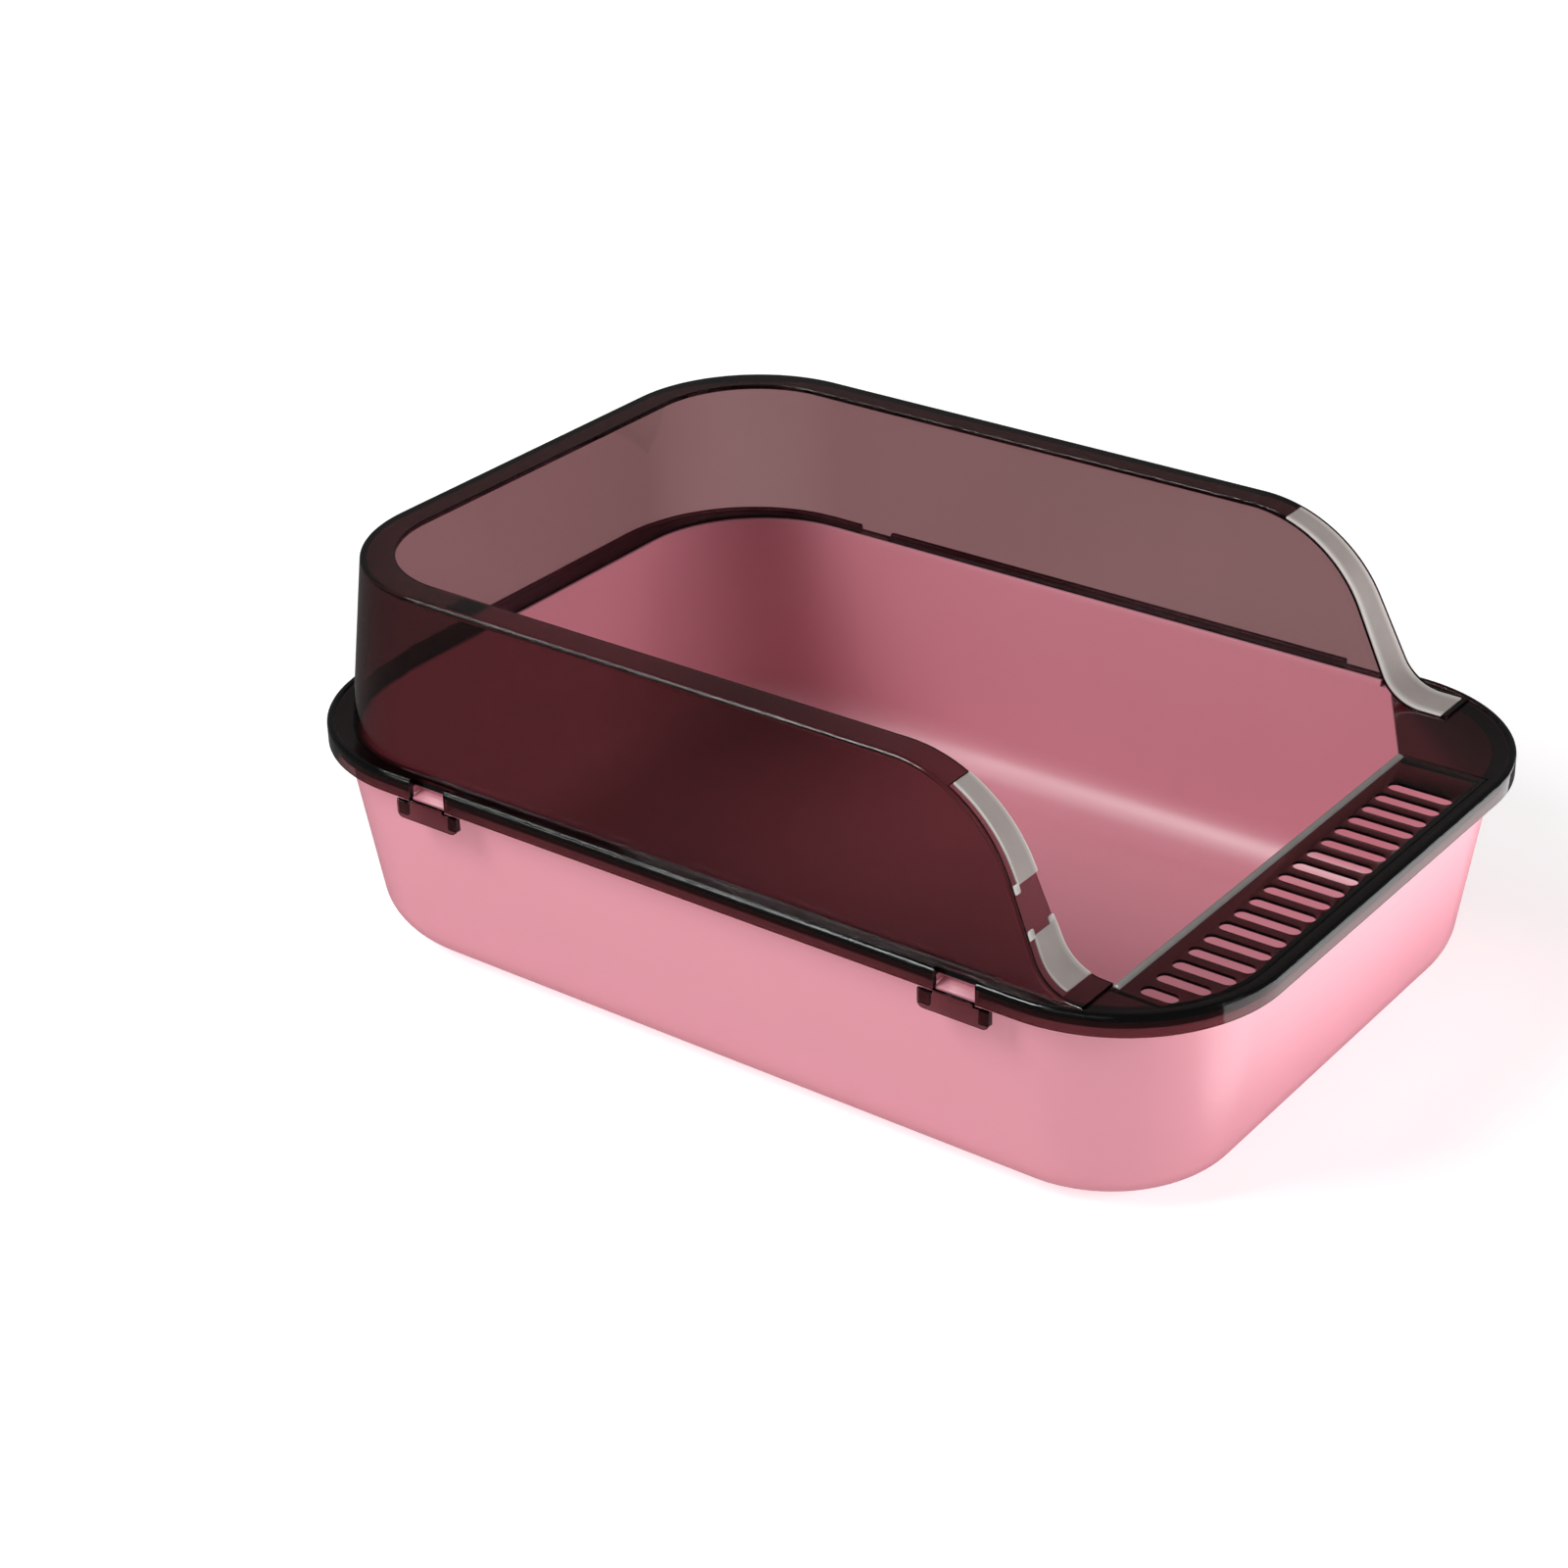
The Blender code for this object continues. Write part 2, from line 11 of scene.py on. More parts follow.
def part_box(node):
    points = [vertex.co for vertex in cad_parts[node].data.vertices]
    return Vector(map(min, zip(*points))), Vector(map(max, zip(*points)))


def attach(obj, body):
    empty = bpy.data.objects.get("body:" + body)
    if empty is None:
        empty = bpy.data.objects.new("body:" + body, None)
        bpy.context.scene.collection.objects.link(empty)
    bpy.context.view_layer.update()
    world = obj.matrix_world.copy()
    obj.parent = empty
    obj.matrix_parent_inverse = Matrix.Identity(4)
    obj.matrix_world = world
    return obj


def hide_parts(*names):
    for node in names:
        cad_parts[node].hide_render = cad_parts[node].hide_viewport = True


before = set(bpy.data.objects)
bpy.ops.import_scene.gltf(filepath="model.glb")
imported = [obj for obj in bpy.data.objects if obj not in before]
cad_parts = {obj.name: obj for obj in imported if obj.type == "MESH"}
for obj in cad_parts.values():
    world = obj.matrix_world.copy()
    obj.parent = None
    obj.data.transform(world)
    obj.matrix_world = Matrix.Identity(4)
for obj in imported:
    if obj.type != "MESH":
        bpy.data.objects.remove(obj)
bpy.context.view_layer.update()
print("frame loaded with", len(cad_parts), "nodes")

# Sizes that the pieces share, read from the frame where it has them
hoodLow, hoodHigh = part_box("hood")
trayLow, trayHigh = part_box("tray")
stepLow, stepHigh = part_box("step_panel")
gap = 0.0003                                   # clearance between neighbours
plateThick = 0.003                             # of the surround's flange
halfWidth = hoodHigh.x
halfLength = hoodHigh.y
topHeight = hoodHigh.z
skirtBottom = hoodLow.z
ledgeTop = trayHigh.z + gap                    # the level that the step and the flange share
plateBottom = ledgeTop - plateThick
rimTop = plateBottom - gap
mergeDistance = 1e-7


def arcPoints(centre, radius, startDegrees, endDegrees, steps):
    # points on a circle: centre plus radius times (cos a, sin a)
    a = np.radians(np.linspace(startDegrees, endDegrees, steps + 1))
    return np.stack([centre[0] + radius * np.cos(a), centre[1] + radius * np.sin(a)], 1)


def roundedPlan(halfX, halfY, frontRadius, backRadius, steps=30):
    # a rectangle about the origin with a quarter circle at each corner
    quarters = []
    for turn, (sideX, sideY) in enumerate(((1, 1), (-1, 1), (-1, -1), (1, -1))):
        radius = backRadius if sideY > 0 else frontRadius
        centre = (sideX * (halfX - radius), sideY * (halfY - radius))
        quarters.append(arcPoints(centre, radius, 90 * turn, 90 * turn + 90, steps))
    return np.concatenate(quarters)


def atHeight(outline, z):
    return np.column_stack([outline, np.full(len(outline), z)])


def meshFromGrid(name, rows):
    # rows has the shape (row, column, 3): columns run round a closed section, rows are joined
    # in turn, and the two ends are capped by one flat face each
    rows = np.asarray(rows, float)
    rowCount, columnCount = rows.shape[:2]
    index = np.arange(rowCount * columnCount).reshape(rowCount, columnCount)
    low, high = index[:-1], index[1:]
    quads = np.stack([low, np.roll(low, -1, 1), np.roll(high, -1, 1), high], 2)
    faces = quads.reshape(-1, 4).tolist() + [index[0, ::-1].tolist(), index[-1].tolist()]
    mesh = bpy.data.meshes.new(name)
    mesh.from_pydata(rows.reshape(-1, 3).tolist(), [], faces)
    turnOutwards(mesh)
    piece = bpy.data.objects.new(name, mesh)
    bpy.context.scene.collection.objects.link(piece)
    return piece


def turnOutwards(mesh):
    # the signed volume under all faces is negative on a mesh that is inside out
    work = bmesh.new()
    work.from_mesh(mesh)
    bmesh.ops.remove_doubles(work, verts=work.verts, dist=mergeDistance)
    bmesh.ops.recalc_face_normals(work, faces=work.faces)
    if work.calc_volume(signed=True) < 0:
        bmesh.ops.reverse_faces(work, faces=work.faces)
    work.to_mesh(mesh)
    work.free()


def boxTool(name, low, high):
    corners = [(low[0], low[1]), (high[0], low[1]), (high[0], high[1]), (low[0], high[1])]
    return meshFromGrid(name, [atHeight(np.array(corners), z) for z in (low[2], high[2])])


def carve(piece, steps):
    # steps is a list of (tool, operation), done in turn, and the tools are used up
    for tool, operation in steps:
        modifier = piece.modifiers.new(tool.name, "BOOLEAN")
        modifier.operation = operation
        modifier.solver = "EXACT"
        modifier.object = tool
    graph = bpy.context.evaluated_depsgraph_get()
    shaped = bpy.data.meshes.new_from_object(piece.evaluated_get(graph))
    piece.modifiers.clear()
    piece.data = shaped
    shaped.name = piece.name
    for tool, operation in steps:
        bpy.data.objects.remove(tool)


def pointsOf(piece):
    spots = np.zeros(len(piece.data.vertices) * 3)
    piece.data.vertices.foreach_get("co", spots)
    return spots.reshape(-1, 3)


def paint(piece, name, values):
    # one number at each point of a piece, for its material to read
    attribute = piece.data.attributes.new(name, "FLOAT", "POINT")
    attribute.data.foreach_set("value", values.astype(np.float32))


def finishPiece(piece, body, material, nodes, sharpAngle=32):
    piece.data.materials.clear()
    piece.data.materials.append(material)
    piece.data.shade_smooth()
    piece.data.set_sharp_from_angle(angle=math.radians(sharpAngle))
    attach(piece, body)
    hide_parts(*nodes)
    print(piece.name, len(piece.data.polygons), "faces")


class Wire:
    # one node socket, with the arithmetic that the materials use
    def __init__(self, sheet, socket):
        self.sheet = sheet
        self.socket = socket

    def math(self, operation, first, second):
        return self.sheet.node("ShaderNodeMath", {"operation": operation}, {0: first, 1: second})

    def __add__(self, other):
        return self.math("ADD", self, other)

    def __radd__(self, other):
        return self.math("ADD", other, self)

    def __sub__(self, other):
        return self.math("SUBTRACT", self, other)

    def __rsub__(self, other):
        return self.math("SUBTRACT", other, self)

    def __mul__(self, other):
        return self.math("MULTIPLY", self, other)

    def __rmul__(self, other):
        return self.math("MULTIPLY", other, self)


class Sheet:
    # the node tree of one material
    def __init__(self, name):
        self.material = bpy.data.materials.new(name)
        self.material.use_nodes = True
        self.tree = self.material.node_tree
        self.tree.nodes.clear()

    def node(self, kind, settings=None, sockets=None, output=0):
        made = self.tree.nodes.new(kind)
        for key, value in (settings or {}).items():
            setattr(made, key, value)
        for key, value in (sockets or {}).items():
            if isinstance(value, Wire):
                self.tree.links.new(value.socket, made.inputs[key])
            else:
                made.inputs[key].default_value = value
        return Wire(self, made.outputs[output])

    def place(self):
        return self.node("ShaderNodeTexCoord", output="Object")

    def noise(self, scale, detail=2.0, roughness=0.5, stretch=(1.0, 1.0, 1.0)):
        spot = self.node("ShaderNodeMapping", {}, {"Vector": self.place(), "Scale": stretch})
        sockets = {"Vector": spot, "Scale": scale, "Detail": detail, "Roughness": roughness}
        return self.node("ShaderNodeTexNoise", {}, sockets)

    def mixColour(self, factor, first, second):
        # the colour mix keeps its factor at input 0, its colours at 6 and 7 and its result at 2
        sockets = {0: factor, 6: first, 7: second}
        return self.node("ShaderNodeMix", {"data_type": "RGBA"}, sockets, 2)

    def bump(self, height, strength, distance):
        sockets = {"Height": height, "Strength": strength, "Distance": distance}
        return self.node("ShaderNodeBump", {}, sockets)

    def finish(self, surface, volume=None):
        output = self.tree.nodes.new("ShaderNodeOutputMaterial")
        self.tree.links.new(surface.socket, output.inputs["Surface"])
        if volume:
            self.tree.links.new(volume.socket, output.inputs["Volume"])
        return self.material


pinkLook = {
    "colour": (0.745, 0.297, 0.365, 1.0),
    "deepColour": (0.725, 0.275, 0.343, 1.0),
    "roughness": 0.40,
    "grain": 900.0,          # grain cells per metre
}


def pinkPlastic():
    sheet = Sheet("pinkPlastic")
    clouds = sheet.noise(14.0, 3.0)
    grain = sheet.noise(pinkLook["grain"], 2.0, 0.6)
    speck = sheet.noise(2600.0, 1.0)
    flow = sheet.noise(30.0, 2.0, 0.5, (1.0, 1.0, 6.0))
    colour = sheet.mixColour(clouds, pinkLook["deepColour"], pinkLook["colour"])
    relief = grain * 0.7 + speck * 0.3
    return sheet.finish(sheet.node("ShaderNodeBsdfPrincipled", {}, {
        "Base Color": colour,
        "Roughness": pinkLook["roughness"] - 0.04 + flow * 0.08,
        "Specular IOR Level": 0.7,
        "Coat Weight": 0.35,
        "Coat Roughness": 0.35,
        "Normal": sheet.bump(relief, 0.12, 0.0003),
    }))


smokeLook = {
    "tint": (0.475, 0.262, 0.275, 1.0),   # what a thick piece lets through
    "density": 1120.0,                     # how fast the tint takes hold, per metre
    "roughness": 0.045,
    "smudge": 0.015,
    "streak": (0.97, 0.95, 0.95, 1.0),
    "clear": (1.0, 0.99, 0.99, 1.0),
    "index": 1.47,
    "ridge": (0.42, 0.39, 0.38, 1.0),      # painted highlight: grey on the step's ridge in place of a lamp's reflection
    "ridgeHighlightDim": (0.30, 0.27, 0.26, 1.0),
    "ridgeHighlightShare": 0.7,
}


def smokedPlastic(name, thickening, roughness, paintRidgeHighlight=False):
    # the volume takes up light, and on the step the ridge attribute turns the surface grey: a
    # painted highlight along the ridge
    sheet = Sheet(name)
    smudges = sheet.noise(8.0, 2.0, 0.5)
    streaks = sheet.noise(60.0, 2.0, 0.5, (1.0, 1.0, 0.2))
    ripple = sheet.noise(9.0, 1.0)
    surface = sheet.node("ShaderNodeBsdfPrincipled", {}, {
        "Base Color": sheet.mixColour(streaks, smokeLook["streak"], smokeLook["clear"]),
        "Roughness": roughness + smudges * smokeLook["smudge"],
        "IOR": smokeLook["index"],
        "Transmission Weight": 1.0,
        "Normal": sheet.bump(ripple, 0.03, 0.0004),
    })
    if paintRidgeHighlight:
        # painted highlight: the ridge's top is coloured a patchy grey where a lamp's reflection
        # would fall
        highlightPatches = sheet.noise(120.0, 2.0, 0.6)
        paintedHighlight = sheet.node("ShaderNodeBsdfPrincipled", {}, {
            "Base Color": sheet.mixColour(highlightPatches, smokeLook["ridge"], smokeLook["ridgeHighlightDim"]),
            "Roughness": 0.25 + highlightPatches * 0.15,
        })
        mask = sheet.node("ShaderNodeAttribute", {"attribute_name": "ridge"}, output="Fac")
        share = mask * smokeLook["ridgeHighlightShare"]
        surface = sheet.node("ShaderNodeMixShader", {}, {0: share, 1: surface, 2: paintedHighlight})
    body = sheet.node("ShaderNodeVolumeAbsorption", {}, {
        "Color": smokeLook["tint"],
        "Density": smokeLook["density"] * thickening,
    })
    return sheet.finish(surface, body)


frostLook = {
    "colour": (0.335, 0.288, 0.272, 1.0),
    "milky": (0.41, 0.362, 0.345, 1.0),
    # painted highlight: a lighter colour along the strips' rounded long edges
    "edgeHighlight": (0.70, 0.67, 0.64, 1.0),
    "edgeHighlightFrom": 0.40,      # of the width, out from the middle
    "edgeHighlightFade": 0.06,
    "roughness": 0.42,
}


def frostedStrip():
    sheet = Sheet("frostedStrip")
    patches = sheet.noise(70.0, 3.0, 0.6)
    frost = sheet.noise(1500.0, 2.0, 0.7)
    # the long edges get the painted highlight's lighter colour and a smoother finish
    rim = sheet.node("ShaderNodeAttribute", {"attribute_name": "edgeHighlight"}, output="Fac")
    body = sheet.mixColour(patches, frostLook["colour"], frostLook["milky"])
    return sheet.finish(sheet.node("ShaderNodeBsdfPrincipled", {}, {
        "Base Color": sheet.mixColour(rim, body, frostLook["edgeHighlight"]),
        "Roughness": frostLook["roughness"] + patches * 0.15 - rim * 0.15,
        "Subsurface Weight": 0.15,
        "Subsurface Scale": 0.001,
        "Normal": sheet.bump(frost, 0.15, 0.0002),
    }))


def paleFloor():
    sheet = Sheet("paleFloor")
    clouds = sheet.noise(3.0, 2.0)
    # the floor's glow grows with the distance from the object, up to full white
    away = sheet.node("ShaderNodeVectorMath", {"operation": "LENGTH"}, {0: sheet.place()}, 1)
    clamped = {"operation": "MULTIPLY", "use_clamp": True}
    past = away - studio["glowFrom"]
    far = sheet.node("ShaderNodeMath", clamped, {0: past, 1: studio["glowRate"]})
    near = (*[studio["floorGlow"]] * 3, 1.0)
    return sheet.finish(sheet.node("ShaderNodeBsdfPrincipled", {}, {
        "Base Color": sheet.mixColour(clouds, (0.80, 0.80, 0.80, 1.0), (0.83, 0.825, 0.82, 1.0)),
        "Roughness": 0.8 + clouds * 0.1,
        "Specular IOR Level": 0.1,
        "Emission Color": sheet.mixColour(far, near, (1.0, 1.0, 1.0, 1.0)),
        "Emission Strength": 1.0,
    }))


pink = pinkPlastic()
smoke = smokedPlastic("smokedPlastic", 1.0, smokeLook["roughness"])
stepSmoke = smokedPlastic("stepPlastic", 2.6, 0.08, True)
clipSmoke = smokedPlastic("clipPlastic", 1.1, 0.05)
frost = frostedStrip()
print("materials made")


flange = {
    "radius": 0.0776,
    "rearExtra": 0.003,
    "skirtWall": 0.0027,
    "beadRise": 0.001,
    "beadRound": 0.002,
    "beadWidth": 0.003,
    "soft": 0.0004,
}
clips = {
    "y": 0.143,
    "catchWidth": 0.020,
    "catchIn": 0.1674,
    "catchOut": 0.1738,
    "catchRoot": 0.0025,      # how deep a catch stands in the tray's wall
    "catchLevels": (0.1020, 0.1050, 0.1069),
    "gapBelow": 0.001,        # how far the gap in the tray's rim starts below a catch
    "notchIn": 0.1707,
    "rise": 0.0016,           # a tongue's middle above its shoulders
    "thick": 0.002,
    "corner": 0.003,
    "soft": 0.0004,
    "ribIn": 0.003,           # from a tongue's end in to the middle of a rib
    "ribHalf": 0.0025,
    "ribReach": 0.0019,
    "ribRoot": 0.0005,
    "ribLevels": (0.0015, 0.0073),
}
tray = {
    "inset": 0.0084,          # from the flange's edge in to the tray's wall
    "wall": 0.0026,
    "floor": 0.003,
    "draft": 7.5,
    "tighten": 0.6,           # how much of an inset its corners tighten by
    "fillet": 0.0295,
    "wallFrom": 0.045,        # a level above the fillet, where the straight wall's rows begin
    "rimThick": 0.0032,
    "upstandWall": 0.002,
    "upstandFront": -0.157,
    "upstandTighter": 0.003,  # how much smaller its front corners are than its back ones
    "crease": 0.0004,         # where the wall turns out into the rim
    "soft": 0.0005,
    "filletSteps": 20,
}
surround = {
    "wall": 0.0024,
    "foot": (0.1670, 0.2350, 0.0700),     # half width, back edge and corner radius at the foot
    "top": (0.1591, 0.2288, 0.0700),
    "root": 0.0004,                        # how deep the wall stands in the flange
    "lip": 0.0161,
    "lipThick": 0.0024,
    "lipRound": 0.0013,
    "lipSoft": 0.0006,
    "inside": 0.0012,
    "undercut": 0.0008,
    "openFront": -0.199,
    "gusset": (0.100, -0.160),
}
dip = {
    "start": {-1: -0.0990, 1: -0.0925},
    "angle": math.radians(65),
    "crest": 0.068,
    "foot": 0.022,
    "rise": 0.0014,
    "runout": {-1: 0.004, 1: 0.013},
    "runoutFall": 0.0002,
}


def flangePlan(inset):
    radius = flange["radius"] - inset
    return roundedPlan(halfWidth - inset, halfLength - inset, radius, radius + flange["rearExtra"])


def trayPlan(inset):
    # the wall's corners tighten less than its sides draw in
    radius = flange["radius"] - tray["inset"] - tray["tighten"] * inset
    drawn = tray["inset"] + inset
    return roundedPlan(halfWidth - drawn, halfLength - drawn, radius, radius)


def upstandPlan(inset):
    # the raised inner edge, just inside the foot of the surround's wall; its front end follows
    # the tray's own wall, so front and back are drawn about the middle between them
    half, back, radius = surround["foot"]
    drawn = surround["wall"] + gap + inset
    front = halfLength - tray["inset"] - tray["wall"] - inset + tray["upstandWall"]
    middle = (back - drawn - front) / 2
    backRadius = radius - drawn
    frontRadius = backRadius - tray["upstandTighter"]
    plan = roundedPlan(half - drawn, (back - drawn + front) / 2, frontRadius, backRadius)
    return plan + np.array([0.0, middle])


def filletSection(radius, floor):
    # inset and height round the turn from the floor into the drafted wall: a quarter circle less
    # the draft, about a centre that keeps it tangent to both
    draft = math.radians(tray["draft"])
    lean = math.tan(draft)
    centre = rimTop * lean + tray["fillet"] / math.cos(draft) - tray["fillet"] * lean
    a = np.linspace(-math.pi / 2, -draft, tray["filletSteps"] + 1)
    return np.column_stack([centre - radius * np.cos(a), floor + radius * (1 + np.sin(a))])


def catchTool(side, middle):
    # a catch with a sloping top, which stands out from the tray's wall
    bottom, low, high = clips["catchLevels"]
    root = clips["catchIn"] - clips["catchRoot"]
    soft, out = clips["soft"], clips["catchOut"]
    outline = np.array([
        (root, bottom), (out - soft, bottom), (out, bottom + soft), (out, low - soft),
        (out - soft, low), (clips["catchIn"], high), (root, high),
    ])
    half = clips["catchWidth"] / 2
    rings = []
    for y, draw in ((-half, soft), (-half + soft, 0.0), (half - soft, 0.0), (half, soft)):
        x = np.minimum(outline[:, 0], out - draw)
        z = np.clip(outline[:, 1], bottom + draw, high - draw)
        rings.append(np.column_stack([side * x, np.full(len(x), middle + y), z]))
    return meshFromGrid("catchTool", rings)


def makeTray():
    lean = math.tan(math.radians(tray["draft"]))
    under = rimTop - tray["rimThick"]
    soft = tray["soft"]
    skirtInside = flange["skirtWall"] + gap
    upTop = trayHigh.z
    thick = tray["upstandWall"]
    rows = [atHeight(trayPlan(inset), z) for inset, z in filletSection(tray["fillet"], 0.0)]
    levels = np.linspace(tray["wallFrom"], under - 0.001, 5)
    rows += [atHeight(trayPlan((rimTop - z) * lean), z) for z in levels]
    rows.append(atHeight(trayPlan((rimTop - under) * lean - tray["crease"]), under))
    rim = [(skirtInside + soft, under), (skirtInside, under + soft)]
    rim += [(skirtInside, rimTop - soft), (skirtInside + soft, rimTop)]
    rows += [atHeight(flangePlan(inset), z) for inset, z in rim]
    nearTop = upTop - soft * 0.3
    edge = [(-gap, rimTop), (0.0, rimTop + gap), (0.0, upTop - soft), (soft * 0.3, nearTop)]
    edge += [(soft, upTop), (thick - soft, upTop), (thick - soft * 0.3, nearTop)]
    edge += [(thick, upTop - soft), (thick + soft, rimTop - soft)]
    rows += [atHeight(upstandPlan(inset), z) for inset, z in edge]
    inner = filletSection(tray["fillet"] - tray["floor"], tray["floor"])[::-1]
    rows += [atHeight(trayPlan(inset), z) for inset, z in inner]
    piece = meshFromGrid("pinkTray", rows)
    trim = boxTool("frontTrim", (-1, -1, rimTop), (1, tray["upstandFront"], 1))
    steps = [(trim, "DIFFERENCE")]
    reach = clips["catchWidth"] / 2 + gap
    for side in (-1, 1):
        for end in (-1, 1):
            middle = end * clips["y"]
            near, far = sorted((side * clips["catchIn"], side * halfWidth))
            low = (near, middle - reach, clips["catchLevels"][0] - clips["gapBelow"])
            high = (far, middle + reach, topHeight)
            steps.append((boxTool("rimGap", low, high), "DIFFERENCE"))
            steps.append((catchTool(side, middle), "UNION"))
    carve(piece, steps)
    return piece


def wallShare(z):
    return (z - ledgeTop) / (topHeight - ledgeTop)


def between(item, z):
    # straight from the foot's value to the top's, by height: 0 is the half width, 1 the back edge
    # and 2 the corner radius
    foot, top = surround["foot"][item], surround["top"][item]
    return foot + (top - foot) * wallShare(z)


def edgeLine(side):
    # y, height and slope of the wall's edge on one side, from the step back along the level top:
    # a run-out, an arc up, a straight climb, a wide arc over, then level to the corner
    angle = dip["angle"]
    crest, foot = dip["crest"], dip["foot"]
    drop = topHeight - ledgeTop - dip["rise"]
    straight = (drop - (crest + foot) * (1 - math.cos(angle))) / math.sin(angle)
    a = np.linspace(0, angle, 49)
    crestY = dip["start"][side] - crest * np.sin(a)
    crestZ = topHeight - crest * (1 - np.cos(a))
    bendY = crestY[-1] - straight * math.cos(angle)
    bendZ = crestZ[-1] - straight * math.sin(angle)
    b = np.linspace(angle, 0, 25)
    footY = bendY - foot * (math.sin(angle) - np.sin(b))
    footZ = bendZ - foot * (np.cos(b) - math.cos(angle))
    endY = footY[-1] - dip["runout"][side]
    level = np.linspace(surround["top"][1] - surround["top"][2], dip["start"][side], 12)[:-1]
    y = np.concatenate([level, crestY, footY, [endY]])
    endZ = footZ[-1] - dip["runoutFall"]
    z = np.concatenate([np.full(len(level), topHeight), crestZ, footZ, [endZ]])
    slope = np.concatenate([np.zeros(len(level)), a, b, [0.0]])
    return y[::-1], z[::-1], slope[::-1]


def lipPoints(side, y, z, slope, inset, depth):
    # a point of the cross-section at each station, inset from the wall's outer face and at a depth
    # square below its edge; past the wall's thickness the lip widens so that its edge is upright
    height = z - depth * np.cos(slope)
    past = np.maximum(inset - surround["wall"], 0.0) / (surround["lip"] - surround["wall"])
    widening = past * (between(0, height) - surround["top"][0])
    x = side * (between(0, height) - inset - widening)
    return np.stack([x, y + depth * np.sin(slope), height], -1)


def cornerPoints(side, angle, inset, depth):
    # the same cross-section carried round a back corner about that corner's leaning axis
    height = topHeight - depth + 0.0 * angle
    radius = between(2, height)
    x = between(0, height) - radius + (radius - inset) * np.cos(angle)
    y = between(1, height) - radius + (radius - inset) * np.sin(angle)
    return np.stack([side * x, y, height], -1)


seat = {
    "thick": 0.0009,
    "inset": 0.0019,
    "strip": {-1: 0.0048, 1: 0.0024},     # where a strip starts, further in than its seat
    "slope": 0.0001,
    "proud": 0.0001,
    "round": 0.0003,
    "end": 0.0006,                         # the length over which a strip's end draws in
    "endAt": (0.0, 0.15, 0.4, 1.0),
    "endDraw": (0.0006, 0.0003, 0.0001, 0.0),
    "ear": 0.003,
    "earSink": 0.0002,
    "earTaper": ((-0.001, 0.0), (0.0022, 0.0), (0.0027, 0.0002), (0.003, 0.0006)),
    "span": {-1: (-0.1290, -0.1880), 1: (-0.1125, -0.1980)},
}
seat["depth"] = seat["thick"] + gap - seat["proud"]


def edgeSection(depth):
    # inset and depth of the turned lip, from the outer face over the top to the inner face
    r, soft, lip = surround["lipRound"], surround["lipSoft"], surround["lip"]
    thick, wall, inside = surround["lipThick"], surround["wall"], surround["inside"]
    a = np.linspace(0, math.pi / 2, 8)
    outer = np.column_stack([r * (1 - np.cos(a)), r * (1 - np.sin(a))])
    step = np.array([(seat["inset"] - seat["slope"], 0.0), (seat["inset"], depth)])
    innerTop = np.column_stack([lip - soft * (1 - np.sin(a)), depth + soft * (1 - np.cos(a))])
    under = np.array([(lip, thick - seat["round"]), (lip - seat["round"], thick)])
    bend = np.column_stack([wall + inside * (1 - np.sin(a)), thick + inside * (1 - np.cos(a))])
    return np.concatenate([outer, step, innerTop, under, bend])


def toRoot(points):
    # straight down the leaning wall to its root, just inside the flange
    height = ledgeTop - surround["root"]
    shift = between(0, height) - between(0, points[:, 2])
    x = points[:, 0] + np.sign(points[:, 0]) * shift
    return np.column_stack([x, points[:, 1], np.full(len(x), height)])


def sideRows(side):
    y, z, slope = edgeLine(side)
    high, low = seat["span"][side]
    marks = np.array([low - 2 * gap, low - gap, high + gap, high + 2 * gap])
    allY = np.union1d(y, marks)
    z, slope = np.interp(allY, y, z), np.interp(allY, y, slope)
    seated = (allY > low - 1.5 * gap) & (allY < high + 1.5 * gap)
    plain, cut = edgeSection(0.0), edgeSection(seat["depth"])
    columns = []
    for plainSpot, cutSpot in zip(plain, cut):
        inset, depth = (np.where(seated, b, a) for a, b in zip(plainSpot, cutSpot))
        columns.append(lipPoints(side, allY, z, slope, inset, depth))
    return np.stack([toRoot(columns[0])] + columns + [toRoot(columns[-1])], 1)


def cornerRows(side):
    angle = np.linspace(0, math.pi / 2, 37)
    section = edgeSection(0.0)
    root = topHeight - ledgeTop + surround["root"]
    columns = [cornerPoints(side, angle, inset, depth) for inset, depth in section]
    first = cornerPoints(side, angle, 0.0, root)
    last = cornerPoints(side, angle, surround["wall"], root)
    return np.stack([first] + columns + [last], 1)


def makeWall():
    rows = [sideRows(-1)[:-1], cornerRows(-1), cornerRows(1)[::-1], sideRows(1)[:-1][::-1]]
    return meshFromGrid("wallTool", np.concatenate(rows))


def openingOutline():
    # the hole in the flange: round at the back, cut across at one front corner
    half = surround["foot"][0] - surround["wall"] + surround["undercut"]
    back = surround["foot"][1] - surround["wall"] + surround["undercut"]
    radius = surround["foot"][2] - surround["wall"] + surround["undercut"]
    right = arcPoints((half - radius, back - radius), radius, 0, 90, 30)
    left = arcPoints((radius - half, back - radius), radius, 90, 180, 30)
    gussetX, gussetY = surround["gusset"]
    front = surround["openFront"]
    corners = np.array([(-half, front), (gussetX, front), (half, gussetY)])
    return np.concatenate([right, left, corners])


step = {
    "rim": 0.007,
    "thick": 0.0012,
    "shelf": 0.003,
    "slots": 18,
    "first": -0.1388,
    "pitch": 0.01235,
    "width": 0.0068,
    "inner": -0.2092,
    "outer": -0.2400,
    "ridgeWidth": 0.0035,
    "ridgeHeight": stepHigh.z - ledgeTop,
    "ridgeRoot": 0.0005,
    "ridgeStarts": ((0.002, 0.4), (0.0026, 0.8), (0.004, 1.0)),   # how far in, share of its height
    "ridgeHighlightFrom": 0.0004,       # the height above the ledge from which the ridge carries the painted grey highlight
    "soft": 0.0004,
}
cornerX = -(halfWidth - flange["radius"])
cornerY = -(halfLength - flange["radius"])


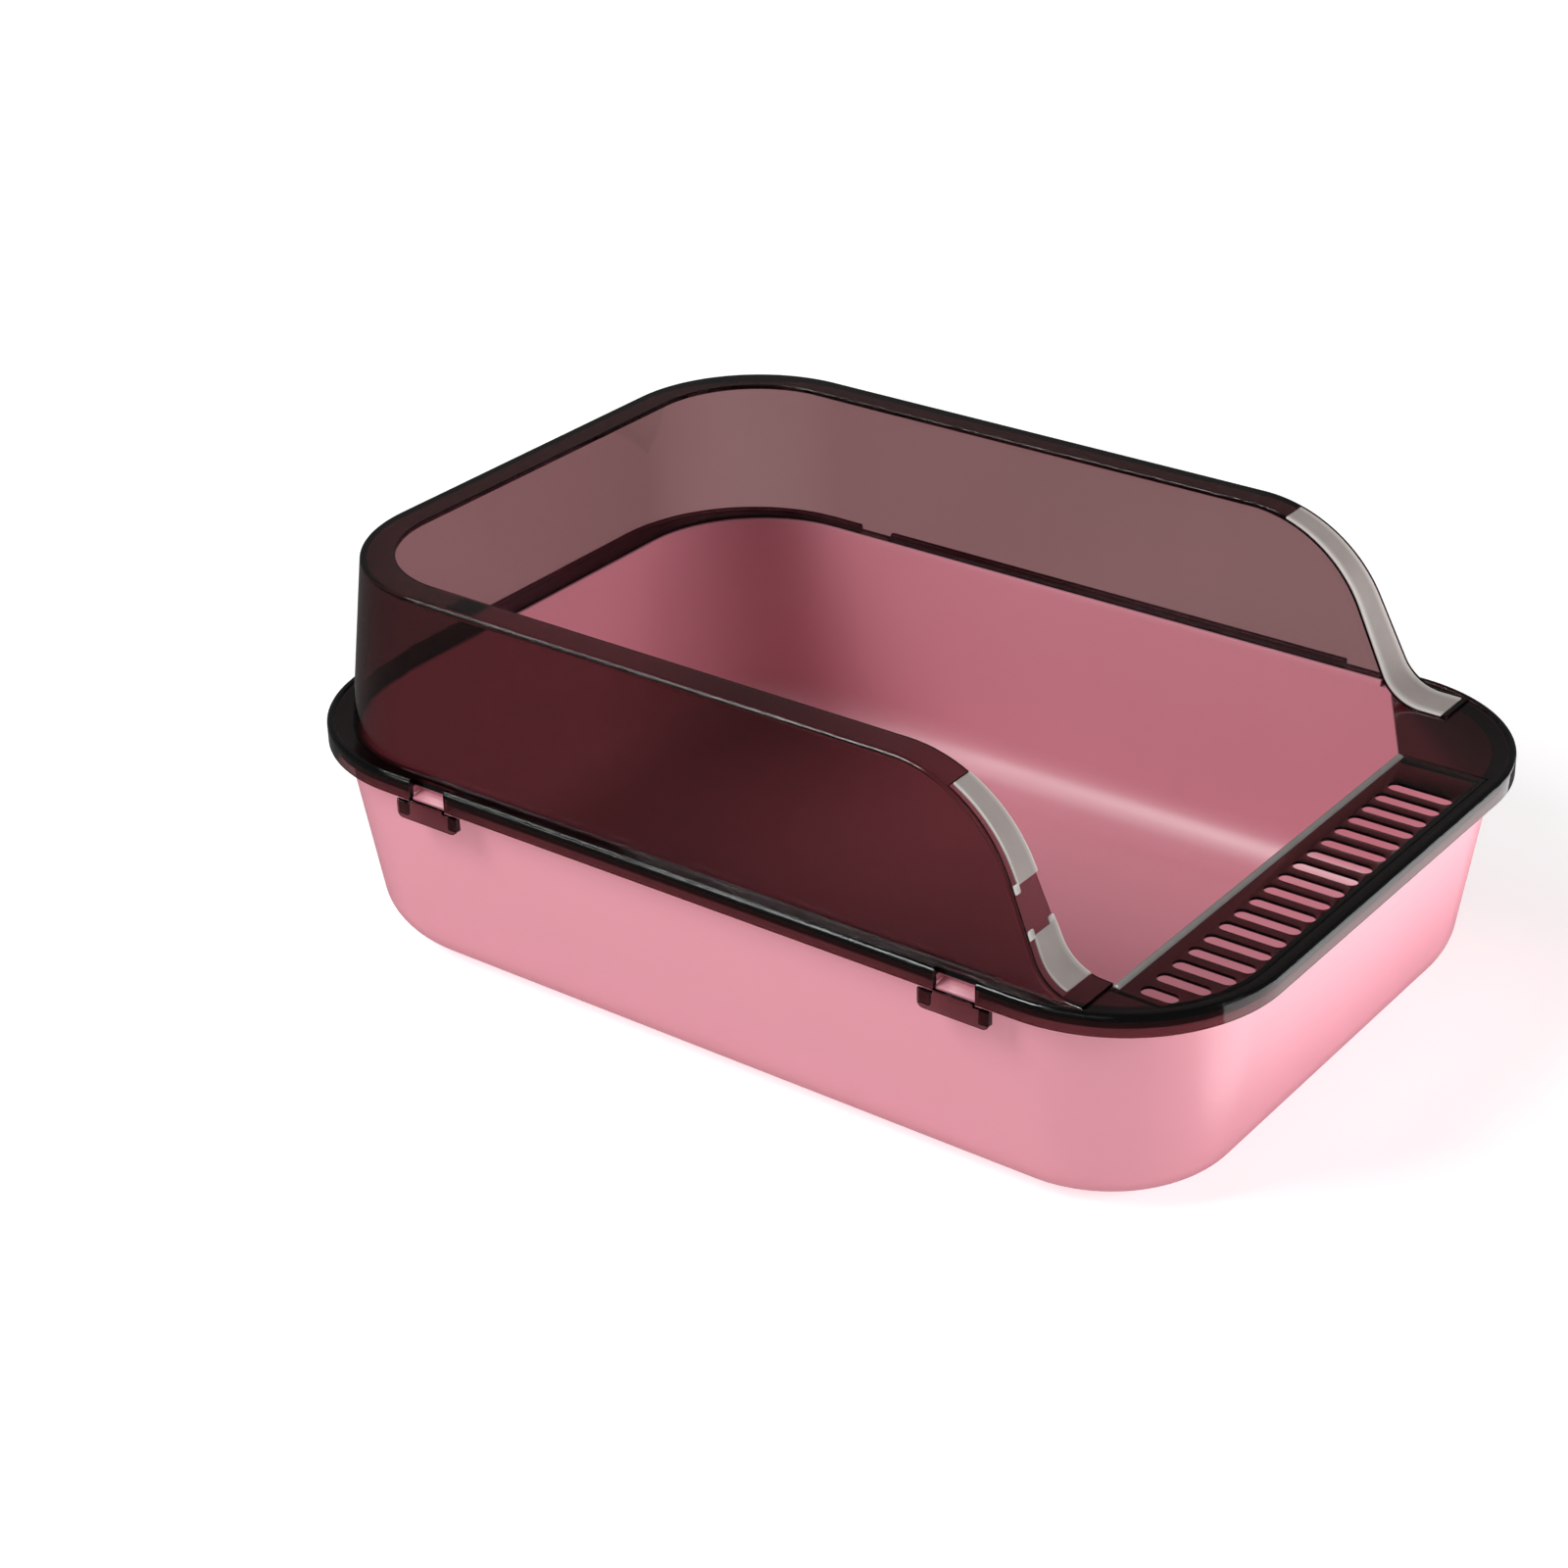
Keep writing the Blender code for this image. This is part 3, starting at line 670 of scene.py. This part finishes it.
def stepOutline(grow, innerEdge):
    # the step's plan, whose left corner follows the flange's own corner
    radius = flange["radius"] - step["rim"] + grow
    left, right = stepLow.x - grow, stepHigh.x + grow
    reach = cornerX - left
    end = math.degrees(math.atan2(-math.sqrt(radius**2 - reach**2), -reach)) + 360
    corner = arcPoints((cornerX, cornerY), radius, 270, end, 14)
    square = np.array([(left, innerEdge), (right, innerEdge), (right, cornerY - radius)])
    return np.concatenate([square, corner])


def makeSurround():
    soft = flange["soft"]
    beadTop = ledgeTop + flange["beadRise"]
    a = np.linspace(0, math.pi / 2, 8)
    bead = flange["beadRound"]
    spots = [(soft, skirtBottom), (0.0, skirtBottom + soft)]
    spots += list(zip(bead * (1 - np.cos(a)), beadTop - bead * (1 - np.sin(a))))
    b = np.linspace(0, math.pi / 2, 5)
    width, rise = flange["beadWidth"], flange["beadRise"]
    turn = rise / 2
    spots += list(zip(width + turn * np.sin(b), beadTop - turn * (1 - np.cos(b))))
    spots += list(zip(width + rise - turn * np.cos(b), ledgeTop + turn * (1 - np.sin(b))))
    piece = meshFromGrid("smokedSurround", [atHeight(flangePlan(inset), z) for inset, z in spots])
    below, above = skirtBottom - 0.01, ledgeTop + 0.01
    pocket = flangePlan(flange["skirtWall"])
    opening = openingOutline()
    past = surround["openFront"] + 2 * step["shelf"]
    recess = stepOutline(gap, past)
    shelf = ledgeTop - step["thick"] - gap
    hole = stepOutline(-step["shelf"], past)
    steps = []
    for name, plan, low, high in (
        ("pocket", pocket, below, plateBottom),
        ("opening", opening, below, above),
        ("recess", recess, shelf, above),
        ("hole", hole, below, above),
    ):
        prism = meshFromGrid(name, [atHeight(plan, z) for z in (low, high)])
        steps.append((prism, "DIFFERENCE"))
    steps.append((makeWall(), "UNION"))
    reach = clips["catchWidth"] / 2 + gap
    for side in (-1, 1):
        for end in (-1, 1):
            near, far = sorted((side * clips["notchIn"], side * (halfWidth + 0.005)))
            low = (near, end * clips["y"] - reach, below)
            high = (far, end * clips["y"] + reach, ledgeTop + plateThick)
            steps.append((boxTool("notch", low, high), "DIFFERENCE"))
    carve(piece, steps)
    return piece


def slotTool(x):
    # an upright prism with round ends, which flares at the top so that the slot's edge is soft
    radius, soft = step["width"] / 2, step["soft"]
    outer = step["outer"]
    if x < cornerX:
        reach = cornerY - step["outer"]
        outer = cornerY - math.sqrt(reach**2 - (cornerX - x) ** 2)
    flares = [(plateThick, 0.0), (soft, 0.0), (soft * 0.3, soft * 0.3), (0.0, soft)]
    flares.append((-soft * 5, soft * 5))
    rings = []
    for below, flare in flares:
        inner = arcPoints((x, step["inner"] - radius), radius + flare, 0, 180, 12)
        far = arcPoints((x, outer + radius), radius + flare, 180, 360, 12)
        rings.append(atHeight(np.concatenate([inner, far]), ledgeTop - below))
    return meshFromGrid("slotTool", rings)


def makeStep():
    soft = step["soft"]
    front = surround["openFront"]
    under = ledgeTop - step["thick"]
    rows = [
        atHeight(stepOutline(0.0, front), under),
        atHeight(stepOutline(0.0, front), ledgeTop - soft),
        atHeight(stepOutline(-soft * 0.3, front - soft * 0.3), ledgeTop - soft * 0.3),
        atHeight(stepOutline(-soft, front - soft), ledgeTop),
    ]
    piece = meshFromGrid("slottedStep", rows)
    a = np.linspace(0, math.pi, 17)
    width, rise = step["ridgeWidth"], step["ridgeHeight"]
    y = front - soft / 2 - width * (1 - np.cos(a)) / 2
    z = ledgeTop + rise * np.sin(a)
    z[[0, -1]] = ledgeTop - step["ridgeRoot"]
    # the ridge rises over a few millimetres at each end
    spots = [(stepLow.x + inside, share) for inside, share in step["ridgeStarts"]]
    spots += [(stepHigh.x - inside, share) for inside, share in reversed(step["ridgeStarts"])]
    sections = []
    for x, share in spots:
        height = np.where(z > ledgeTop, ledgeTop + (z - ledgeTop) * share, z)
        sections.append(np.column_stack([np.full(len(y), x), y, height]))
    steps = [(meshFromGrid("ridge", sections), "UNION")]
    for number in range(step["slots"]):
        steps.append((slotTool(step["first"] + step["pitch"] * number), "DIFFERENCE"))
    carve(piece, steps)
    # mark the ridge's top for the painted grey highlight
    above = pointsOf(piece)[:, 2] - ledgeTop
    paint(piece, "ridge", np.clip(above / step["ridgeHighlightFrom"], 0.0, 1.0))
    return piece


def makeClip(name, side, end, low, high):
    # a tongue under the flange: an outline in the plane of the side, rounded at its lower corners
    # and raised in the middle, carried through its thickness with softened faces
    half = (high.y - low.y) / 2
    middle = clips["catchWidth"] / 2
    rise, thick, corner, soft = (clips[key] for key in ("rise", "thick", "corner", "soft"))
    top = high.z - rise
    tall = top - low.z
    outer = high.x if side > 0 else -low.x
    rings = []
    skins = [(0.0, soft), (soft * 0.3, soft * 0.3), (soft, 0.0), (thick - soft, 0.0), (thick, soft)]
    for depth, draw in skins:
        left = arcPoints((-half + corner, corner - tall), corner - draw, 180, 270, 8)
        right = arcPoints((half - corner, corner - tall), corner - draw, 270, 360, 8)
        shoulder = np.array([
            (half - draw, -draw), (middle - draw, -draw), (middle - draw, rise - draw),
            (draw - middle, rise - draw), (draw - middle, -draw), (draw - half, -draw),
        ])
        flat = np.concatenate([left, right, shoulder])
        x = np.full(len(flat), side * (outer - depth))
        rings.append(np.column_stack([x, end * clips["y"] + flat[:, 0], top + flat[:, 1]]))
    piece = meshFromGrid(name, rings)
    inner = outer - thick
    near, far = sorted((side * (inner + clips["ribRoot"]), side * (inner - clips["ribReach"])))
    bottom, up = clips["ribLevels"]
    steps = []
    for way in (-1, 1):
        y = end * clips["y"] + way * (half - clips["ribIn"])
        foot = (near, y - clips["ribHalf"], low.z + bottom)
        head = (far, y + clips["ribHalf"], low.z + up)
        steps.append((boxTool("rib", foot, head), "UNION"))
    carve(piece, steps)
    return piece


def stripSection(side, low, top, draw=0.0):
    # across a strip: inset and depth, with its two upper edges rounded
    r = seat["round"]
    lip, start = surround["lip"] - draw, seat["strip"][side] + draw
    a = np.linspace(0, math.pi / 2, 5)
    inner = np.column_stack([lip - r * (1 - np.cos(a)), top + r * (1 - np.sin(a))])
    spread = np.linspace(lip - 3 * r, start + 3 * r, 7)
    across = np.column_stack([spread, np.full(7, top)])
    outer = np.column_stack([start + r * (1 - np.sin(a)), top + r * (1 - np.cos(a))])
    return np.concatenate([[(start, low), (lip, low)], inner, across, outer])


def makeGuard(name, side, span, ears):
    # a strip from one y to another along the lip, drawn in a little at both ends
    low, top = seat["depth"] - gap, -seat["proud"]
    y, z, slope = edgeLine(side)
    upper, lower = span
    ease = np.array(seat["endAt"]) * seat["end"]
    pull = np.array(seat["endDraw"])
    middle = np.linspace(lower, upper, 60)[2:-2]
    at = np.concatenate([lower + ease, middle, (upper - ease)[::-1]])
    draw = np.concatenate([pull, np.zeros(len(middle)), pull[::-1]])
    height, lean = np.interp(at, y, z), np.interp(at, y, slope)
    rows = []
    for place in zip(at, height, lean, draw):
        section = stripSection(side, low, top + place[3] * 0.3, place[3] * 0.4)
        rows.append(lipPoints(side, *place[:3], section[:, 0], section[:, 1]))
    piece = meshFromGrid(name, rows)
    steps = []
    for atTop, start in ears:
        edgeY, along = (upper, 1) if atTop else (lower, -1)
        station = (edgeY, np.interp(edgeY, y, z), np.interp(edgeY, y, slope))
        steps.append((earTool(side, station, along, start), "UNION"))
    if steps:
        carve(piece, steps)
    paintEdgeHighlight(piece, side)
    return piece


def earTool(side, station, along, start):
    # a small tab that stands past one end of a strip and narrows at its own end
    y, z, slope = station
    low = seat["depth"] - gap - seat["earSink"]
    rings = []
    for reach, draw in seat["earTaper"]:
        left, right = start + draw, start + seat["ear"] - draw
        corners = np.array([(left, low), (right, low), (right, 0.0), (left, 0.0)])
        spotY = y + along * reach * math.cos(slope)
        spotZ = z + along * reach * math.sin(slope)
        rings.append(lipPoints(side, spotY, spotZ, slope, corners[:, 0], corners[:, 1]))
    return meshFromGrid("ear", rings)


def paintEdgeHighlight(piece, side):
    # mask of the painted edge highlight: 1 along a strip's long edges and 0 across its middle, from
    # how far each point is inset
    spots = pointsOf(piece)
    inset = between(0, spots[:, 2]) - side * spots[:, 0]
    width = surround["lip"] + between(0, spots[:, 2]) - surround["top"][0]
    start = seat["strip"][side]
    across = (inset - start) / (width - start)
    past = np.abs(across - 0.5) - frostLook["edgeHighlightFrom"]
    paint(piece, "edgeHighlight", np.clip(past / frostLook["edgeHighlightFade"], 0.0, 1.0))


finishPiece(makeTray(), "tray", pink, ["tray"])
finishPiece(makeSurround(), "hood", smoke, ["hood"])
finishPiece(makeStep(), "hood", stepSmoke, ["step_panel"])
for side, sideName in ((-1, "left"), (1, "right")):
    for end, endName in ((-1, "front"), (1, "rear")):
        node = f"clip_{sideName}_{endName}"
        clip = makeClip(f"{sideName}{endName.title()}Clip", side, end, *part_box(node))
        finishPiece(clip, node, clipSmoke, [node])
outerEar = seat["inset"] + 0.0004
innerEar = surround["lip"] - seat["ear"] - 0.0002
guards = {
    # node: name, side, upper and lower y, ears as (at the upper end, inset)
    "guard_left_upper": ("leftUpperGuard", -1, (seat["span"][-1][0], -0.1620), [(False, outerEar)]),
    "guard_left_lower": (
        "leftLowerGuard", -1, (-0.1710, seat["span"][-1][1]), [(True, outerEar), (True, innerEar)],
    ),
    "guard_right": ("rightGuard", 1, seat["span"][1], []),
}
for node, settings in guards.items():
    finishPiece(makeGuard(*settings), "hood", frost, [node])


studio = {
    "floor": 50.0,
    "floorLevel": -0.0002,
    "floorGlow": 0.55,
    "glowFrom": 0.7,         # metres from the object
    "glowRate": 0.6,         # per metre
    "world": 0.12,
    "aim": (0, 0, 0.05),
}
lamps = {
    # each lamp: power, size, place, and whether the gloss shows it
    "key": (2.0, 1.4, (2.2, -2.7, 1.1), False),
    "front": (42.0, 1.0, (0.4, -2.9, 1.25), False),
    "fill": (7.0, 2.2, (-3.0, -0.6, 1.5), True),
    "top": (50.0, 1.2, (-1.9, 1.1, 2.3), True),
    "rim": (12.0, 1.0, (-2.6, 1.8, 1.3), True),
    "back": (7.0, 0.6, (-0.4, 1.4, 2.0), True),
    "card": (4.4, 0.9, (0.35, -0.72, 0.002), True),
}
camera = {
    "azimuth": -53.87,
    "elevation": 28.05,
    "roll": -0.81,
    "stand": (-1.1134, -0.7834, 0.8068),
    "lens": 75.83,
    "sensor": 36.0,
    "shift": -0.0494,
}


def makeFloor():
    half = studio["floor"] / 2
    t = np.linspace(-half, half, 13)
    x, y = np.meshgrid(t, t)
    points = np.stack([x, y, np.full_like(x, studio["floorLevel"])], -1).reshape(-1, 3)
    index = np.arange(t.size**2).reshape(t.size, t.size)
    quads = np.stack([index[:-1, :-1], index[:-1, 1:], index[1:, 1:], index[1:, :-1]], 2)
    mesh = bpy.data.meshes.new("floor")
    mesh.from_pydata(points.tolist(), [], quads.reshape(-1, 4).tolist())
    mesh.materials.append(paleFloor())
    floor = bpy.data.objects.new("floor", mesh)
    bpy.context.scene.collection.objects.link(floor)
    floor.visible_glossy = False       # the gloss shows the dim studio, not the floor


def makeLight(name, power, size, at, shown):
    # every lamp faces the object, but the card lies on the floor and faces straight up
    lamp = bpy.data.lights.new(name, "AREA")
    lamp.energy = power
    lamp.size = size
    item = bpy.data.objects.new(name, lamp)
    item.location = at
    towards = Vector((0, 0, 1)) if name == "card" else Vector(studio["aim"]) - Vector(at)
    item.rotation_euler = towards.to_track_quat("-Z", "Y").to_euler()
    item.visible_glossy = shown
    item.visible_camera = False
    bpy.context.scene.collection.objects.link(item)


def makeWorld():
    world = bpy.data.worlds.new("studio")
    world.use_nodes = True
    background = world.node_tree.nodes["Background"]
    background.inputs["Color"].default_value = (1.0, 0.995, 0.99, 1.0)
    background.inputs["Strength"].default_value = studio["world"]
    bpy.context.scene.world = world


def makeCamera():
    azimuth, elevation = math.radians(camera["azimuth"]), math.radians(camera["elevation"])
    roll = math.radians(camera["roll"])
    back = Vector((
        math.sin(azimuth) * math.cos(elevation),
        -math.cos(azimuth) * math.cos(elevation),
        math.sin(elevation),
    ))
    right = Vector((math.cos(azimuth), math.sin(azimuth), 0.0))
    up = back.cross(right)
    turnedRight = right * math.cos(roll) + up * math.sin(roll)
    turnedUp = up * math.cos(roll) - right * math.sin(roll)
    lens = bpy.data.cameras.new("camera")
    lens.lens = camera["lens"]
    lens.sensor_width = camera["sensor"]
    lens.shift_x = camera["shift"]
    lens.clip_start = 0.05
    item = bpy.data.objects.new("camera", lens)
    turn = Matrix((turnedRight, turnedUp, back)).transposed().to_4x4()
    item.matrix_world = Matrix.Translation(camera["stand"]) @ turn
    bpy.context.scene.collection.objects.link(item)
    bpy.context.scene.camera = item


makeFloor()
for lampName, lampSettings in lamps.items():
    makeLight(lampName, *lampSettings)
makeWorld()
makeCamera()
bpy.context.scene.view_settings.view_transform = "Standard"
print("floor, light and camera set")
